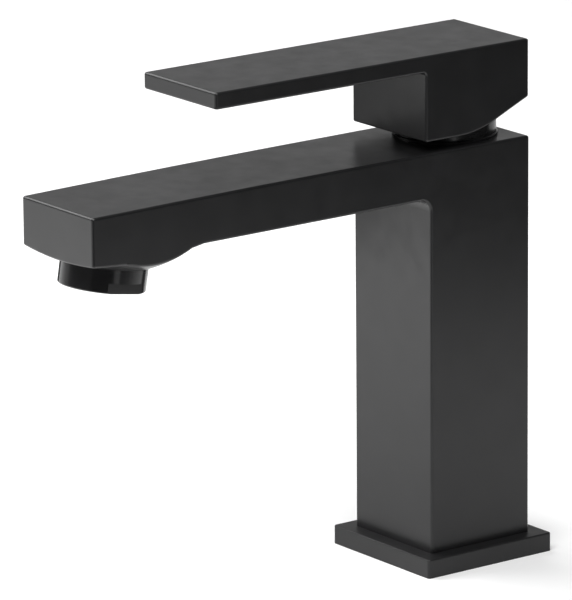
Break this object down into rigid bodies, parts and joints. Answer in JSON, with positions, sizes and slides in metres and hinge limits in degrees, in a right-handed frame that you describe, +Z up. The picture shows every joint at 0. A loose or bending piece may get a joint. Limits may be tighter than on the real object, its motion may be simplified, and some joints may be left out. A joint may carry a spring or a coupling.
{
  "type": "basin mixer tap",
  "caption": "Matt black single-lever basin mixer with a square column, flat straight spout and flat paddle lever, on a square base plate.",
  "frame": {"origin": "centre of the square base plate on the deck plane it stands on", "axes": "+Z up away from the deck, -Y from the column out along the spout, +X to the right-hand side when the spout points away from the viewer"},
  "size_m": [0.0506, 0.1753, 0.1699],
  "materials": {
    "body_black": "satin matt black coating on brass",
    "plate_black": "satin matt black coating",
    "lever_black": "satin matt black coating on zinc",
    "dome_black": "satin matt black coating on brass",
    "aerator_black": "satin black coating on brass",
    "rubber_black": "soft sealing rubber",
    "nut_brass": "machined brass",
    "cartridge_plastic": "moulded plastic",
    "cartridge_blue": "moulded plastic",
    "ceramic_fixed": "lapped alumina ceramic",
    "ceramic_moving": "lapped alumina ceramic",
    "steel": "turned stainless steel",
    "stem_zinc": "machined metal",
    "plug_two_tone": "gloss plastic, red and blue halves",
    "aerator_plastic": "moulded plastic"
  },
  "bodies": {
    "mixer_body": {"body_casting": "body_black", "base_plate": "plate_black", "base_gasket": "rubber_black", "dome_cover": "dome_black", "cartridge_nut": "nut_brass", "cartridge_housing": "cartridge_plastic", "cartridge_oring": "rubber_black", "cartridge_base": "cartridge_blue", "inlet_seals": "rubber_black", "disc_seals": "rubber_black", "fixed_ceramic_disc": "ceramic_fixed", "aerator_housing": "aerator_black", "aerator_insert": "aerator_plastic", "aerator_screen": "steel", "aerator_washer": "rubber_black"},
    "swivel": {"cartridge_rotor": "cartridge_blue", "pivot_pin": "steel"},
    "lever": {"lever_handle": "lever_black", "lever_stem": "stem_zinc", "grub_screw": "steel", "index_plug": "plug_two_tone"},
    "disc_pack": {"moving_ceramic_disc": "ceramic_moving", "disc_carrier": "cartridge_blue"}
  },
  "joints": [
    {"name": "temperature_swivel", "type": "hinge", "parent": "mixer_body", "child": "swivel", "pos_m": [0, 0.0013, 0.138], "axis": [0, 0, 1], "range_deg": [-45, 45]},
    {"name": "flow_tilt", "type": "hinge", "parent": "swivel", "child": "lever", "pos_m": [0, 0.0013, 0.138], "axis": [-1, 0, 0], "range_deg": [0, 23.5]},
    {"name": "disc_slide", "type": "slide", "parent": "swivel", "child": "disc_pack", "axis": [0, -1, 0], "range_m": [0, 0.0042]}
  ],
  "couplings": [
    {"joint": "disc_slide", "follows": "flow_tilt", "m_per_rad": 0.0098}
  ]
}
